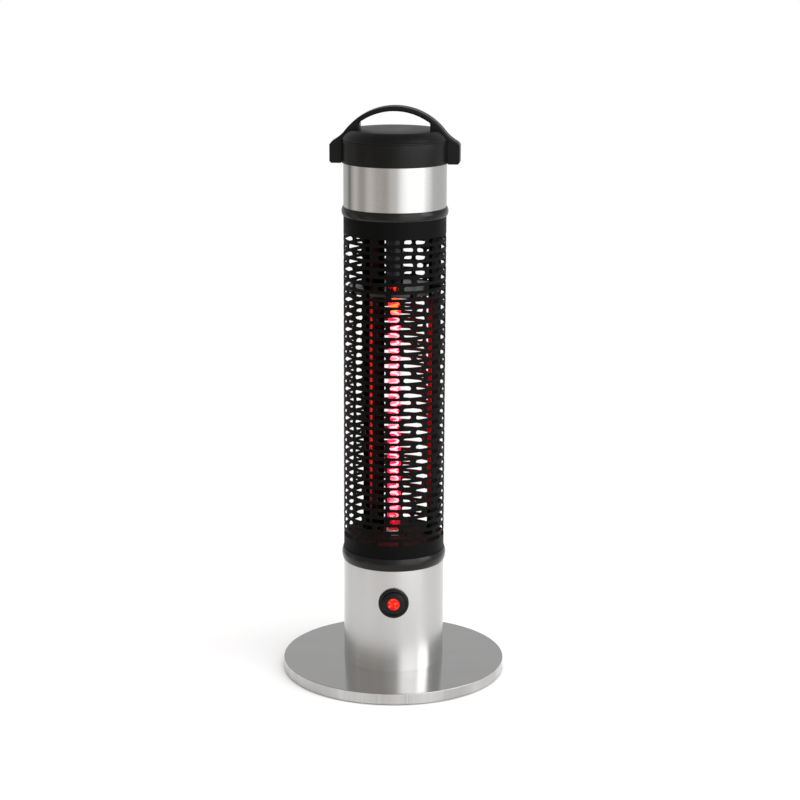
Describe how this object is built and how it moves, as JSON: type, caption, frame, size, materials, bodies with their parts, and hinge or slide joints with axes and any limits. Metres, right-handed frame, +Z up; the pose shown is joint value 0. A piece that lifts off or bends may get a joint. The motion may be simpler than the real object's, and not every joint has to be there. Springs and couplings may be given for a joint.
{
  "type": "outdoor heater",
  "caption": "Upright electric patio heater: slotted guard tube round a quartz lamp, steel housings, round weighted base, carrying handle and lit push switch.",
  "frame": {"origin": "centre of the base, on the ground under the feet", "axes": "+Z up along the column, -Y towards the front with the switch, +X to the right of someone behind the heater looking out over the switch, which is the right of the picture seen from the front"},
  "size_m": [0.254, 0.254, 0.649],
  "materials": {
    "brushed_stainless": "brushed",
    "black_guard": "matte black, heat resistant",
    "black_plastic": "satin black",
    "black_ring": "satin black",
    "zinc_steel": "zinc plated",
    "cast_weight": "painted",
    "black_rubber": "matte",
    "quartz": "clear",
    "glowing_coil": "glowing",
    "white_ceramic": "matte",
    "lead_sleeve": "glass fibre sleeve",
    "switch_black": "satin black",
    "red_lens": "clear red",
    "neon": "glowing",
    "brass_contact": "bright",
    "spring_steel": "bright",
    "mineral_fibre": "matte"
  },
  "bodies": {
    "heater": {"base_cover": "brushed_stainless", "base_ballast": "cast_weight", "base_bottom_plate": "zinc_steel", "rubber_feet": "black_rubber", "base_screws": "zinc_steel", "column_flange": "zinc_steel", "lower_housing": "brushed_stainless", "lower_trim_ring": "black_ring", "lower_pan": "black_guard", "guard_tube": "black_guard", "upper_pan": "black_guard", "upper_trim_ring": "black_ring", "upper_housing": "brushed_stainless", "side_screws": "zinc_steel", "left_stay": "black_guard", "right_stay": "black_guard", "stay_screws": "zinc_steel", "heat_shield": "zinc_steel", "shield_clips": "zinc_steel", "quartz_tube": "quartz", "heating_coil": "glowing_coil", "lower_lamp_cap": "white_ceramic", "upper_lamp_cap": "white_ceramic", "lower_lamp_holder": "black_guard", "upper_lamp_holder": "black_guard", "holder_screws": "zinc_steel", "return_lead": "lead_sleeve", "lamp_lead": "lead_sleeve", "switch_leads": "lead_sleeve", "terminal_bracket": "zinc_steel", "terminal_block": "white_ceramic", "terminal_screws": "brass_contact", "switch_bezel": "switch_black", "switch_body": "switch_black", "switch_nut": "black_plastic", "switch_terminals": "brass_contact", "indicator_lamp": "neon", "button_spring": "spring_steel", "tip_switch_case": "black_plastic", "tip_pin": "zinc_steel", "tip_contact_block": "black_plastic", "cable_gland": "black_plastic", "gland_seal": "black_rubber", "gland_dome_nut": "black_plastic", "gland_lock_nut": "black_plastic", "cap_bracket": "zinc_steel", "cap_skirt": "black_plastic", "cap_screws": "zinc_steel", "cap_lid": "black_plastic", "handle": "black_plastic", "handle_screws": "zinc_steel", "insulation_pad": "mineral_fibre"},
    "button": {"power_button": "switch_black", "button_lens": "red_lens"},
    "pendulum": {"tip_pendulum": "brass_contact"}
  },
  "joints": [
    {"name": "power_button_press", "type": "slide", "parent": "heater", "child": "button", "axis": [0, 1, 0], "range_m": [0, 0.003], "stiffness_N_per_m": 400, "springref_m": -0.001, "deforming": ["button_spring"]},
    {"name": "tip_pendulum_swing", "type": "hinge", "parent": "heater", "child": "pendulum", "pos_m": [0.027, -0.006, 0.062], "axis": [0, 1, 0], "range_deg": [-14, 14]}
  ]
}
